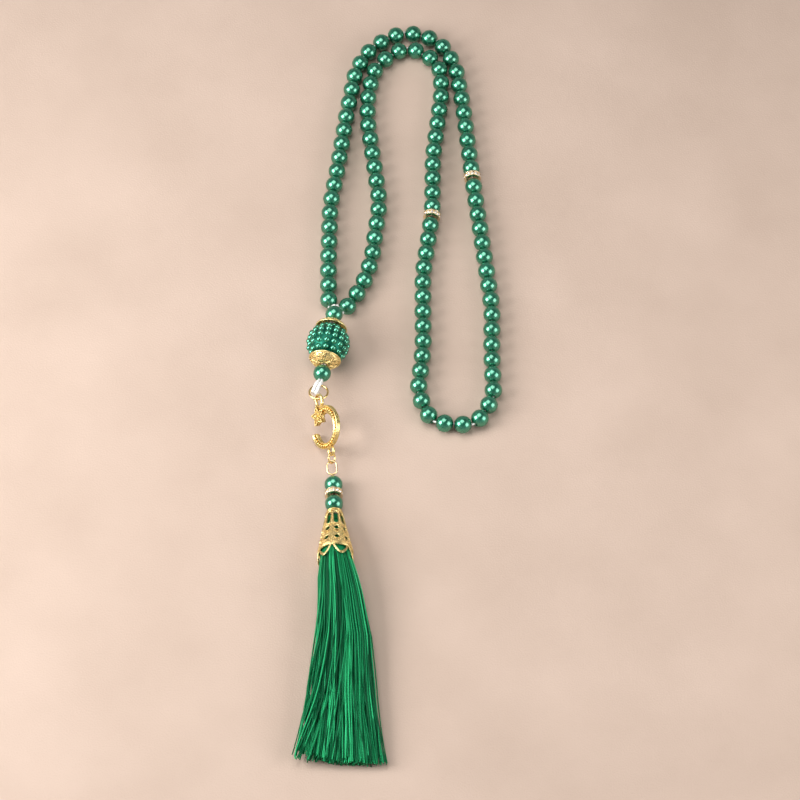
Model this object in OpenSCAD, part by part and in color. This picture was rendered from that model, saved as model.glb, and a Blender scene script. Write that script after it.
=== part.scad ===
// Misbaha prayer beads laid out on a table: ninety-nine imitation pearls on a cord that lies
// folded in two, two spacer rings, a beaded ball between two caps, a crescent and star charm
// on jump rings, and a silk tassel in a filigree cone. All sizes are in millimetres.
// The table is z = 0, the folded strand points along +Y and the tassel along -Y.

/* [Pearls and cord] */
// Diameter of a pearl
pearl_d = 8; // [6:0.5:12]
// Diameter of the hole through a pearl of the strand
pearl_hole_d = 1.5; // [1.3:0.1:2]
// Diameter of the hole through the pearls and caps of the head, which take four cords
head_hole_d = 2.6; // [2.5:0.1:3]
// Most free length that a pearl has on the cord
pearl_play = 0.18; // [0.1:0.02:0.3]
// How far the pearls beside the head slide when one is counted off
count_slack = 1.6; // [0:0.1:2]
// Diameter of the white cord
cord_d = 1; // [0.8:0.05:1]

/* [Spacer rings] */
// Outer diameter of a spacer ring
rondelle_d = 8; // [6:0.5:10]
// Thickness of a spacer ring, between its two pearls
rondelle_t = 2.5; // [2:0.1:3]
// Diameter of the clear stones set in it
stone_d = 1.4; // [1:0.1:1.5]
// Number of stones round it
stone_count = 12; // [8:1:14]

/* [Beaded ball] */
// Diameter of the smooth core
core_d = 18; // [15:0.5:21]
// Diameter of the seed pearls glued on the core
seed_d = 2.9; // [2.2:0.1:3.2]
// Distance between the centres of seed pearls in a row
seed_pitch = 3.3; // [3.2:0.1:4]
// Diameter of the rim of each cap
cap_d = 14.6; // [12:0.2:18]
// Depth of each cap
cap_h = 3.6; // [3:0.1:5]
// Thickness of the metal of the caps and the cone
metal_t = 0.7; // [0.5:0.05:1]

/* [Crescent charm and rings] */
// Outer diameter of the jump ring that hangs on the cord
jump_ring_d = 9.2; // [7:0.1:11]
// Thickness of its wire
jump_wire_d = 1; // [0.8:0.05:1.2]
// Outer diameter of the crescent
crescent_d = 19.8; // [16:0.2:26]
// Diameter of the round cut that hollows the crescent
crescent_cut_d = 13.4; // [12:0.2:16]
// Thickness of the crescent
crescent_t = 1.9; // [1.7:0.1:3]
// Radius of the star, centre to point
star_r = 4.4; // [3.5:0.1:5]
// Outer width of the bail at the top of the charm
bail_w = 5.6; // [5:0.1:7]
// Outer diameter of the link ring under the charm
link_ring_d = 5.5; // [5.4:0.1:7]
// Thickness of its wire
link_wire_d = 0.8; // [0.7:0.05:1]

/* [Tassel] */
// Thickness of the eye pin's wire
pin_d = 0.8; // [0.7:0.05:1]
// Outer width of the pin's eye
eye_w = 5; // [4:0.1:6]
// Outer length of the pin's eye
eye_l = 7; // [6:0.1:9]
// Length of the filigree cone without its leaves
cone_l = 22; // [18:0.5:28]
// Diameter of the cone at the top
cone_top_d = 6.8; // [6:0.1:8]
// Diameter of the cone at the leaves
cone_d = 15.2; // [13:0.2:18]
// Number of pierced columns round the cone
cone_columns = 9; // [6:1:9]
// Number of wire leaves at the foot of the cone
leaf_count = 6; // [5:1:7]

/* [Hidden] */
$fn = 48;

// Turns a vector as rotate() turns a shape.
function turned(v, a) =
  let (x1 = [v.x, v.y * cos(a.x) - v.z * sin(a.x), v.y * sin(a.x) + v.z * cos(a.x)],
       y1 = [x1.x * cos(a.y) + x1.z * sin(a.y), x1.y, x1.z * cos(a.y) - x1.x * sin(a.y)])
  [y1.x * cos(a.z) - y1.y * sin(a.z), y1.x * sin(a.z) + y1.y * cos(a.z), y1.z];
function unit(v) = v / norm(v);
function sum(v, n) = n == 0 ? 0 : v[n - 1] + sum(v, n - 1);

// Strand route: the corners between straight runs of pearls, chosen for 8 mm pearls.
ROUTE = [
  [-32.5, 34.5], [-33, 59], [-32.5, 91.5], [-29, 115.5], [-25, 147.5], [-21, 172],
  [-13, 186], [2, 195], [18.5, 189.5], [26.5, 174.5], [30, 150], [34, 106.5],
  [38.5, 66.5], [42, 34.5], [41.5, 10], [42, -14.5], [33.5, -29], [14.5, -27.5],
  [8, -12], [10.5, 12], [10.5, 52.5], [15, 87], [15.5, 119.5], [20, 159.5],
  [18.5, 176], [3.5, 186], [-11, 175], [-15, 159], [-15.5, 142.5], [-12.5, 118],
  [-9.5, 93.5], [-13, 61], [-17.5, 45.5], [-26, 31.5]
];
// Pearls on each run, thirty-three between one spacer ring and the next.
RUN_PEARLS = [3, 4, 3, 4, 3, 2, 2, 2, 2, 3, 5, 5, 4, 3, 3, 2, 2, 2, 3, 5, 4,
              4, 5, 2, 2, 2, 2, 2, 3, 3, 4, 2, 2];
// Runs that end in a spacer ring.
RINGED_RUNS = [10, 20];
route_scale = pearl_d / 8;
corner = [for (p = ROUTE) [p.x * route_scale, p.y * route_scale, pearl_d / 2]];
run_count = len(RUN_PEARLS);
rondelle_gap = 0.05;
rondelle_room = rondelle_t + 2 * rondelle_gap;

function is_ringed(i) = len([for (r = RINGED_RUNS) if (r == i) r]) > 0;
function run_way(i) = unit(corner[i + 1] - corner[i]);
function run_heading(i) = atan2(run_way(i).y, run_way(i).x);
function run_room(i) = norm(corner[i + 1] - corner[i]) - (is_ringed(i) ? rondelle_room : 0);
function run_pitch(i) = min(run_room(i) / RUN_PEARLS[i], pearl_d + pearl_play);
function run_place(i, along) = corner[i] + run_way(i) * (run_room(i) / 2 + along);
function pearl_along(i, k) = (k - (RUN_PEARLS[i] - 1) / 2) * run_pitch(i);
function pearl_place(i, k) = run_place(i, pearl_along(i, k));
function rondelle_place(i) = run_place(i, (RUN_PEARLS[i] * run_pitch(i) + rondelle_room) / 2);

// Head: the ball rests on the table by its seed pearls, and the cord runs level through it.
seed_ring_r = core_d / 2 - 0.4;
ball_r = seed_ring_r + seed_d / 2;
head_gap = 0.15;
cap_pole = ball_r + 0.2 + metal_t + 1;
head_turn = -9;
head_at = [-32.4, 10.6, ball_r];
head_way = turned([0, 1, 0], [0, 0, head_turn]);
end_pearl_along = cap_pole + head_gap + pearl_d / 2;
head_mouth = end_pearl_along + pearl_d / 2;
neck_at = head_at + head_way * head_mouth;
loop_at = head_at - head_way * head_mouth;
seed_rows = [-60, -40, -20, 0, 20, 40, 60];
cap_petals = 8;

// Cord loop: it leaves the last pearl, passes over and under the jump ring's near wire.
loop_turn = head_turn - 14;
loop_way = turned([0, -1, 0], [0, 0, loop_turn]);
ring_hold = 2.7;
strand_offset = 0.55 * cord_d;
cord_rise = (jump_wire_d + cord_d) / 2 + 0.1;

// Charm: local X and Y lie in its face, +Y points to the bail, the face is z = 0.
charm_turn = [17, -57, -1];
crescent_r = crescent_d / 2;
crescent_cut_at = [0.3, -0.7];
tip_angle = 178;
bail_hole_w = jump_wire_d + 2.1;
bail_straight = 1.2;
bail_t = 1.5;
bail_y = crescent_r + bail_w / 2 + bail_straight / 2 - 0.4;
bail_hang_y = bail_y + bail_straight / 2 + bail_hole_w / 2 - jump_wire_d / 2 - 0.8;
foot_loop_t = 1.2;
foot_loop_d = link_wire_d + 4;
foot_hole_d = link_wire_d + 2.2;
foot_loop_y = -(crescent_r + foot_loop_d / 2 - 0.6);
star_at = [-2.1, 6.3];
star_turn = 155;
star_rise = 0.6;
grain_d = 1.3;
grain_pitch = 1.8;
bail_reach = turned([0.3, bail_hang_y, -crescent_t / 2], charm_turn);
foot_hang_y = foot_loop_y - foot_hole_d / 2 + link_wire_d / 2 + 0.3;
foot_reach = turned([0, foot_hang_y, -crescent_t / 2], charm_turn);
// The crescent's lowest edge touches the table, and the jump ring rises to reach its bail.
charm_z = 0.02 - min([for (a = [0:3:357]) for (z = [0, -crescent_t])
  turned([crescent_r * cos(a), crescent_r * sin(a), z], charm_turn).z]);

// Jump ring
jump_r = (jump_ring_d - jump_wire_d) / 2;
jump_hold_at = loop_at + loop_way * ring_hold;
jump_tilt = asin((charm_z + bail_reach.z - jump_hold_at.z) / (2 * jump_r));
jump_turn = [-jump_tilt, 0, 4];
jump_at = jump_hold_at + turned([0, -jump_r, 0], jump_turn);
jump_foot_at = jump_hold_at + turned([0, -2 * jump_r, 0], jump_turn);
charm_at = jump_foot_at - bail_reach;
foot_hang_at = charm_at + foot_reach;

// Tassel: local +Z runs from the eye to the fringe, +Y is up, z = 0 is its first pearl.
tassel_slope = 6.5;
tassel_turn = [90 - tassel_slope, 0, 2];
eye_lift = 20;
eye_start = -(pearl_d / 2 + 1.6);
eye_r = (eye_w - pin_d) / 2;
eye_straight = eye_l - eye_w;
eye_aside = -0.5;
eye_hook = 0;
eye_far = [eye_aside, 0, eye_start] + turned([eye_r * sin(eye_hook), 0,
  -eye_r - eye_straight - eye_r * cos(eye_hook)], [eye_lift, 0, 0]);
tassel_z = pearl_d / 2 + 0.05;

// Link ring: hangs from the loop at the charm's foot and holds the far end of the pin's eye.
link_r = (link_ring_d - link_wire_d) / 2;
link_hook = link_r - link_wire_d / 2 - pin_d / 2 - 0.1;
link_drop = (tassel_z + turned(eye_far, tassel_turn).z - foot_hang_at.z) / (link_r + link_hook);
link_way = [0, -sqrt(1 - link_drop * link_drop), link_drop];
link_normal = unit(cross(turned([0, 0, 1], charm_turn) + [0, -0.3, 0.5], link_way));
link_turn = [0, acos(link_normal.z), atan2(link_normal.y, link_normal.x)];
link_at = foot_hang_at + link_way * link_r;
tassel_at = link_at + link_way * link_hook - turned(eye_far, tassel_turn);
tassel_rondelle_z = pearl_d / 2 + rondelle_room / 2;
tassel_pearl_z = pearl_d + rondelle_room;
cone_z = tassel_pearl_z + pearl_d / 2 + 0.4;
cone_end = cone_z + cone_l;
leaf_l = 5.4;
leaf_wire = 0.8;
leaf_end = cone_end + leaf_l;
silk_gap = 0.3;
silk_top = cone_z + 2.2;
binding_z = silk_top + 2.4;
binding_wire = 0.7;
pin_end = silk_top + 9;
fringe_start = leaf_end + 1.6;
fringe_pivot = tassel_at + turned([0, 0, fringe_start], tassel_turn);

function pearl_run_name(i) = str("pearl_run_", i < 9 ? "0" : "", i + 1);

// Places the head's parts: local +Z runs up the cord towards the strand.
module in_head() {
  translate(head_at) rotate([-90, 0, head_turn]) children();
}

module in_charm() {
  translate(charm_at) rotate(charm_turn) children();
}

module in_tassel() {
  translate(tassel_at) rotate(tassel_turn) children();
}

// A closed eight-sided tube along points, with its end faces square to the route.
module tube(points, d) {
  sides = 8;
  last = len(points) - 1;
  way = [for (i = [0:last]) unit(points[min(i + 1, last)] - points[max(i - 1, 0)])];
  side = [for (w = way) unit(cross(w, abs(w.z) > 0.9 ? [1, 0, 0] : [0, 0, 1]))];
  ring = [for (i = [0:last]) for (s = [0:sides - 1])
    let (up = cross(way[i], side[i]), a = 360 * s / sides)
    points[i] + (cos(a) * side[i] + sin(a) * up) * d / 2];
  walls = [for (i = [0:last - 1]) for (s = [0:sides - 1])
    let (a = i * sides + s, b = i * sides + (s + 1) % sides)
    [a, a + sides, b + sides, b]];
  polyhedron(ring, concat(walls, [[for (s = [0:sides - 1]) s]],
    [[for (s = [sides - 1:-1:0]) last * sides + s]]), convexity = 10);
}

module pearl(hole_d) {
  difference() {
    sphere(d = pearl_d);
    cylinder(d = hole_d, h = pearl_d + 2, center = true);
  }
}

// A round wire ring lying in the XY plane, with the saw cut of a jump ring.
module wire_ring(r, wire_d, cut_turn) {
  difference() {
    rotate_extrude() translate([r, 0]) circle(d = wire_d, $fn = 24);
    rotate(cut_turn) translate([r, 0, 0]) cube([wire_d * 2, 0.15, wire_d * 2], center = true);
  }
}

// The cord of the strand, from one side of the neck round the loop to the other.
module strand_cord() {
  start = neck_at + head_way * 0.5;
  first = run_place(0, pearl_along(0, 0) - pearl_d / 2 - count_slack);
  last = run_place(run_count - 1, pearl_along(run_count - 1, RUN_PEARLS[run_count - 1] - 1)
    + pearl_d / 2 + count_slack);
  bend = 0.12;
  points = concat(
    [start + [-strand_offset, 0, 0], start + [-strand_offset, 0, 0] + head_way * 0.8,
     (start + first) / 2 + [-0.3, 0.6, 0.4], first],
    [for (i = [0:run_count - 1]) each [
      i == 0 ? first + run_way(0) : corner[i] + run_way(i) * pearl_d * bend,
      i == run_count - 1 ? last - run_way(i) : corner[i + 1] - run_way(i) * pearl_d * bend]],
    [last, (start + last) / 2 + [0.3, 0.4, 0.4],
     start + [strand_offset, 0, 0] + head_way * 0.8, start + [strand_offset, 0, 0]]);
  color("white") tube(points, cord_d);
}

module pearl_run(i) {
  color("#128c5a")
    for (k = [0:RUN_PEARLS[i] - 1])
      translate(pearl_place(i, k)) rotate([0, 90, run_heading(i)]) pearl(pearl_hole_d);
}

// The metal of a spacer ring: two flanges with a channel between them for the stones.
flange_t = 0.42;
channel_r = rondelle_d / 2 - 0.95;
module spacer_ring() {
  color("#d9b25a")
    rotate_extrude()
      polygon([[pearl_hole_d / 2, -rondelle_t / 2], [rondelle_d / 2, -rondelle_t / 2],
        [rondelle_d / 2, -rondelle_t / 2 + flange_t], [channel_r, -rondelle_t / 2 + flange_t],
        [channel_r, rondelle_t / 2 - flange_t], [rondelle_d / 2, rondelle_t / 2 - flange_t],
        [rondelle_d / 2, rondelle_t / 2], [pearl_hole_d / 2, rondelle_t / 2]]);
}

module spacer_stones() {
  stone_h = rondelle_d / 2 - channel_r - 0.1;
  color("#f4f1ea")
    for (k = [0:stone_count - 1])
      rotate([0, 90, 360 * k / stone_count]) translate([0, 0, channel_r + 0.05]) {
        cylinder(d = min(stone_d, rondelle_t - 2 * flange_t - 0.1), h = stone_h * 0.6, $fn = 8);
      }
}

module at_spacer(i) {
  translate(rondelle_place(i)) rotate([0, 90, run_heading(i)]) children();
}

// The four cords through the head, which come out as two loops side by side.
module head_cord() {
  half = strand_offset;
  loop_points = [[0, half], [ring_hold * 0.45, cord_rise * 0.8], [ring_hold, cord_rise],
    [4.2, cord_rise * 0.95], [6, 0.85], [6.8, 0.5], [7.1, 0]];
  out = [for (p = loop_points) loop_at + loop_way * p.x + [0, 0, p.y]];
  back = [for (i = [len(loop_points) - 2:-1:0])
    loop_at + loop_way * loop_points[i].x - [0, 0, loop_points[i].y]];
  color("white")
    for (s = [-1, 1]) {
      aside = turned([s * half, 0, 0], [0, 0, (head_turn + loop_turn) / 2]);
      tube([for (p = concat(
        [neck_at + [0, 0, half], loop_at + head_way + [0, 0, half]], out,
        back, [loop_at + head_way - [0, 0, half], neck_at - [0, 0, half]])) p + aside], cord_d * 0.96);
    }
}

module head_pearl(along) {
  color("#128c5a") in_head() translate([0, 0, along]) pearl(head_hole_d);
}

module ball_core() {
  color("#0d6b45") in_head()
    difference() {
      sphere(d = core_d);
      cylinder(d = head_hole_d, h = core_d + 2, center = true);
    }
}

module seed_pearls() {
  color("#1a9c66") in_head()
    for (row = [0:len(seed_rows) - 1]) {
      lat = seed_rows[row];
      ring_r = seed_ring_r * cos(lat);
      count = floor(2 * PI * ring_r / seed_pitch + 0.3);
      for (k = [0:count - 1])
        rotate(90 + 360 * (k + (row % 2 == 0 ? 0.5 : 0)) / count)
          translate([ring_r, 0, seed_ring_r * sin(lat)]) sphere(d = seed_d, $fn = 24);
    }
}

// A bowl-shaped cap whose pole touches nothing but the cord, pierced between its petals.
module cap() {
  rim_r = cap_d / 2;
  rim_z = cap_pole - cap_h;
  hub_r = head_hole_d / 2 + 1.2;
  color("#e3b341")
    difference() {
      union() {
        rotate_extrude()
          polygon([[head_hole_d / 2, cap_pole - 0.9], [hub_r, cap_pole - 0.9],
            [rim_r * 0.8, rim_z + 0.9], [rim_r - metal_t, rim_z], [rim_r, rim_z],
            [rim_r * 0.86, rim_z + cap_h * 0.55], [hub_r + 0.6, cap_pole],
            [head_hole_d / 2, cap_pole]]);
        rotate_extrude() translate([rim_r - metal_t / 2, rim_z]) circle(d = metal_t, $fn = 24);
      }
      for (k = [0:cap_petals - 1])
        rotate(360 * k / cap_petals) translate([rim_r * 0.68, 0, rim_z])
          cylinder(d = 1.5, h = cap_h * 2, center = true);
    }
}

module upper_cap() {
  in_head() cap();
}

module lower_cap() {
  in_head() rotate([180, 0, 0]) cap();
}

module jump_ring() {
  color("#e3b341") translate(jump_at) rotate(jump_turn) wire_ring(jump_r, jump_wire_d, 25);
}

// An oval eye in the XY plane: two round ends joined by straight sides, drilled through.
module oval(w, straight, h) {
  for (s = [-1, 1]) translate([0, s * straight / 2, -h]) cylinder(d = w, h = h, $fn = 24);
  translate([-w / 2, -straight / 2, -h]) cube([w, straight, h]);
}

module star_outline(r) {
  polygon([for (i = [0:9]) (i % 2 == 0 ? r : r * 0.5) * [cos(star_turn + 36 * i),
    sin(star_turn + 36 * i)]]);
}

module crescent_charm() {
  band_r = (crescent_r + crescent_cut_d / 2) / 2 + 0.1;
  grain_step = 360 * grain_pitch / (2 * PI * band_r);
  groove = 0.5;
  color("#e3b341") in_charm()
    difference() {
      union() {
        difference() {
          translate([0, 0, -crescent_t]) cylinder(r = crescent_r, h = crescent_t, $fn = 96);
          translate([crescent_cut_at.x, crescent_cut_at.y, -crescent_t - 1])
            cylinder(d = crescent_cut_d, h = crescent_t + 2, $fn = 96);
          translate([0, 0, -crescent_t - 1]) linear_extrude(crescent_t + 2)
            polygon([[0, 0], 2 * crescent_r * [cos(tip_angle), sin(tip_angle)],
              2 * crescent_r * [-1, 1], 2 * crescent_r * [cos(112), sin(112)]]);
          rotate_extrude() translate([crescent_r, -crescent_t / 2])
            circle(d = groove, $fn = 24);
        }
        for (a = [tip_angle - 357:grain_step:100])
          rotate(a) translate([band_r, 0, -0.1]) sphere(d = grain_d, $fn = 24);
        translate([0, bail_y, -(crescent_t - bail_t) / 2]) oval(bail_w, bail_straight, bail_t);
        translate([0, foot_loop_y, -(crescent_t + foot_loop_t) / 2])
          cylinder(d = foot_loop_d, h = foot_loop_t);
        translate([star_at.x, star_at.y, -crescent_t])
          linear_extrude(crescent_t + star_rise) star_outline(star_r);
      }
      translate([0, bail_y, 1]) oval(bail_hole_w, bail_straight, crescent_t + 2);
      translate([0, foot_loop_y, -crescent_t - 1])
        cylinder(d = foot_hole_d, h = crescent_t + 2);
    }
}

module link_ring() {
  color("#e3b341") translate(link_at) rotate(link_turn) wire_ring(link_r, link_wire_d, 200);
}

// Half a wire ring in the XZ plane, open towards -Z.
module half_eye() {
  rotate([90, 0, 0]) rotate_extrude(angle = 180) translate([eye_r, 0])
    circle(d = pin_d * 0.98, $fn = 24);
}

module eye_pin() {
  color("#c99a3a") in_tassel() {
    translate([0, 0, eye_start - pin_d]) cylinder(d = pin_d, h = pin_end - eye_start + pin_d, $fn = 24);
    translate([eye_aside, 0, eye_start]) rotate([eye_lift, 0, 0]) translate([0, 0, -eye_r]) {
      half_eye();
      translate([0, 0, -eye_straight]) rotate([0, 180, 0]) half_eye();
      for (s = [-1, 1]) translate([s * eye_r, 0, -eye_straight])
        cylinder(d = pin_d, h = eye_straight, $fn = 24);
    }
    translate([0, 0, pin_end]) sphere(d = pin_d * 2, $fn = 24);
  }
}

module tassel_pearl(z) {
  color("#128c5a") in_tassel() translate([0, 0, z]) pearl(pearl_hole_d);
}

// Inner radius of the cone at a height, so that the silk keeps clear of it.
function cone_r(z) = cone_top_d / 2 + (cone_d - cone_top_d) / 2 * (z - cone_z) / cone_l;

module cone_shell(end) {
  rotate_extrude($fn = 60)
    polygon([[cone_top_d / 2 - 1.3, cone_z], [cone_top_d / 2 - 0.4, cone_z],
      [cone_top_d / 2 + 0.1, cone_z + 1], [cone_r(end), end], [cone_r(end) - metal_t, end],
      [cone_top_d / 2 + 0.1 - metal_t, cone_z + 1.2], [cone_top_d / 2 - 1.3, cone_z + 0.8]]);
}

// A round tool pointing out from the axis at a height and angle.
module outward(z, angle) {
  translate([0, 0, z]) rotate([0, 90, angle]) children();
}

// A leaf's window and the notch between two leaves, as outlines [across, along the cone].
LEAF_WINDOW = [[-2.7, 0.4], [2.7, 0.4], [2.7, 1], [0.5, 4.1], [-0.5, 4.1], [-2.7, 1]];
LEAF_NOTCH = [[0, 0.5], [1.1, 1.4], [2.5, 3.4], [3.1, 4.7], [3.6, 5.3], [3.6, 7],
              [-3.6, 7], [-3.6, 5.3], [-3.1, 4.7], [-2.5, 3.4], [-1.1, 1.4]];

module outward_cut(outline, wide, tall) {
  rotate([0, 90, 0]) linear_extrude(cone_d)
    polygon([for (p = outline) [-p.y * tall, p.x * wide]]);
}

module tassel_cone() {
  column = 360 / cone_columns;
  leaf = 360 / leaf_count;
  wide = cone_d / 15.2 * 6 / leaf_count;
  tall = leaf_l / 5.4;
  color("#e3b341") in_tassel()
    difference() {
      cone_shell(leaf_end);
      for (k = [0:cone_columns - 1]) {
        outward(cone_z + cone_l * 0.28, column * k + 2) rotate(90) translate([0, 0, cone_d])
          oval(1.7, 4.2, cone_d);
        outward(cone_z + cone_l * 0.57, column * k + 2) cylinder(d = 2, h = cone_d, $fn = 16);
        outward(cone_z + cone_l * 0.82, column * k + 2) cylinder(d = 2, h = cone_d, $fn = 16);
      }
      for (k = [0:leaf_count - 1]) translate([0, 0, cone_end]) {
        rotate(leaf * k + 10) outward_cut(LEAF_WINDOW, wide, tall);
        rotate(leaf * (k + 0.5) + 10) outward_cut(LEAF_NOTCH, wide, tall);
      }
    }
}

// The folded top of the silk, inside the cone.
module tassel_head() {
  inner = metal_t + silk_gap;
  binding_r = cone_r(binding_z) - inner - binding_wire;
  color("#0b7a45") in_tassel()
    rotate_extrude()
      polygon([[0, silk_top], [cone_r(silk_top) - inner - 0.6, silk_top],
        [binding_r, binding_z - 1.2], [binding_r, binding_z + 1.2],
        [cone_r(binding_z + 3) - inner, binding_z + 3],
        [cone_r(leaf_end) - inner - 0.2, leaf_end], [0, leaf_end]]);
}

module tassel_binding() {
  binding_r = cone_r(binding_z) - metal_t - silk_gap - binding_wire / 2;
  color("#0a6a3c") in_tassel()
    for (k = [-1:1])
      translate([0, 0, binding_z + k * binding_wire]) rotate_extrude()
        translate([binding_r, 0]) circle(d = binding_wire, $fn = 24);
}

// The loose silk: flat oval sections from the cone down to the table and along it.
// Each row is [distance along the tassel, middle x, middle z, half width, half height].
FRINGE = [[0, 0.4, 0, 6.8, 6.4], [14, 2.1, -1.4, 9.2, 6], [34, 3.8, -2.8, 11.6, 5],
  [62, 3.5, -4.2, 14.3, 4], [92.4, 3.2, -5.4, 18.2, 3]];
fringe_fall = fringe_pivot.z;

module tassel_fringe() {
  sides = 24;
  last = len(FRINGE) - 1;
  ring = [for (r = FRINGE) for (s = [0:sides - 1])
    fringe_pivot + [r[1] + r[3] * cos(360 * s / sides), -r[0],
      max(r[2] + r[4] * sin(360 * s / sides), 0.02 - fringe_fall)]];
  walls = [for (i = [0:last - 1]) for (s = [0:sides - 1])
    let (a = i * sides + s, b = i * sides + (s + 1) % sides)
    each [[a, b, b + sides], [a, b + sides, a + sides]]];
  color("#0b7a45") polyhedron(ring, concat(walls, [[for (s = [sides - 1:-1:0]) s]],
    [[for (s = [0:sides - 1]) last * sides + s]]), convexity = 4);
}

strand_cord();
for (i = [0:run_count - 1])
  pearl_run(i);
at_spacer(RINGED_RUNS[0]) spacer_ring();  // spacer_ring_1
at_spacer(RINGED_RUNS[0]) spacer_stones();  // spacer_stones_1
at_spacer(RINGED_RUNS[1]) spacer_ring();  // spacer_ring_2
at_spacer(RINGED_RUNS[1]) spacer_stones();  // spacer_stones_2
head_cord();
head_pearl(end_pearl_along);  // neck_pearl
upper_cap();
ball_core();
seed_pearls();
lower_cap();
head_pearl(-end_pearl_along);  // end_pearl
jump_ring();
crescent_charm();
link_ring();
eye_pin();
tassel_pearl(0);  // tassel_pearl_upper
in_tassel() translate([0, 0, tassel_rondelle_z]) spacer_ring();  // tassel_ring
in_tassel() translate([0, 0, tassel_rondelle_z]) spacer_stones();  // tassel_stones
tassel_pearl(tassel_pearl_z);  // tassel_pearl_lower
tassel_cone();
tassel_head();
tassel_binding();
tassel_fringe();
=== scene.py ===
import math
import random

import bmesh
import bpy
from mathutils import Euler, Matrix, Vector


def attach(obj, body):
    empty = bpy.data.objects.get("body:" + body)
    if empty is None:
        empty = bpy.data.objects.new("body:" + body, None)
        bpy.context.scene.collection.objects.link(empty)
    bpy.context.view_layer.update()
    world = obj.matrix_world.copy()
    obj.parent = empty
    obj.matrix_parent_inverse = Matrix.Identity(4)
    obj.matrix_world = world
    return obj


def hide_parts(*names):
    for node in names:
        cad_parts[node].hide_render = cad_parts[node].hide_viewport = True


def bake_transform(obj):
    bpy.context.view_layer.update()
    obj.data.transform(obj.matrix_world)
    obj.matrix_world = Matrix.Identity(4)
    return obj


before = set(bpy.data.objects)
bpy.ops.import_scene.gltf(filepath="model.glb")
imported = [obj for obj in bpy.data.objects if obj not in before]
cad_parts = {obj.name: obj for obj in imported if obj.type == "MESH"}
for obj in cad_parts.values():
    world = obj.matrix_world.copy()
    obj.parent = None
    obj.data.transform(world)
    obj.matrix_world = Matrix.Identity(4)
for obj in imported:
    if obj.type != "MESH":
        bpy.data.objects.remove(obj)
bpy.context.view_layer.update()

# Camera: a long lens from the tassel's end, 57.7 degrees above the table.
VIEW_HEIGHT = math.radians(57.7)
VIEW_DISTANCE = 1.439
VIEW_CENTRE = Vector((0, -0.0131, 0))
lens = bpy.data.cameras.new("camera")
lens.sensor_width = 36
lens.lens = 144
lens.clip_start = 0.05
camera = bpy.data.objects.new("camera", lens)
bpy.context.scene.collection.objects.link(camera)
camera.location = VIEW_CENTRE + VIEW_DISTANCE * Vector(
    (0, -math.cos(VIEW_HEIGHT), math.sin(VIEW_HEIGHT)))
camera.rotation_euler = (math.pi / 2 - VIEW_HEIGHT, 0, 0)
bpy.context.scene.camera = camera


# Studio: a pale table, soft boxes on both sides and above, and a pale surround that is
# brightest low down, all round the table.
# Each soft box is [place in metres, side in metres, watts].
SOFT_BOXES = [
    [(-0.62, -0.14, 0.42), 0.44, 6.8],
    [(-0.12, 0.12, 0.72), 0.56, 3.6],
    [(0.58, -0.26, 0.34), 0.46, 2.8],
]
for place, side, watts in SOFT_BOXES:
    lamp = bpy.data.lights.new("soft_box", "AREA")
    lamp.shape = "SQUARE"
    lamp.size = side
    lamp.energy = watts
    box = bpy.data.objects.new("soft_box", lamp)
    box.location = place
    box.rotation_euler = (Vector((0, 0, 0)) - box.location).to_track_quat("-Z", "Y").to_euler()
    bpy.context.scene.collection.objects.link(box)
SURROUND_TINT = (1, 0.97, 0.94, 1)
surround = bpy.data.worlds.new("surround")
surround.use_nodes = True
sky = surround.node_tree
sky.nodes["Background"].inputs["Color"].default_value = SURROUND_TINT
height = sky.nodes.new("ShaderNodeSeparateXYZ")
sky.links.new(sky.nodes.new("ShaderNodeTexCoord").outputs["Generated"], height.inputs[0])
dimmed = sky.nodes.new("ShaderNodeMapRange")
for socket, value in [("From Min", 0.35), ("From Max", 0.8),
                      ("To Min", 0.42), ("To Max", 0.08)]:
    dimmed.inputs[socket].default_value = value
sky.links.new(height.outputs["Z"], dimmed.inputs["Value"])
sky.links.new(dimmed.outputs["Result"], sky.nodes["Background"].inputs["Strength"])
bpy.context.scene.world = surround
bpy.context.scene.view_settings.view_transform = "Standard"


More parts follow.
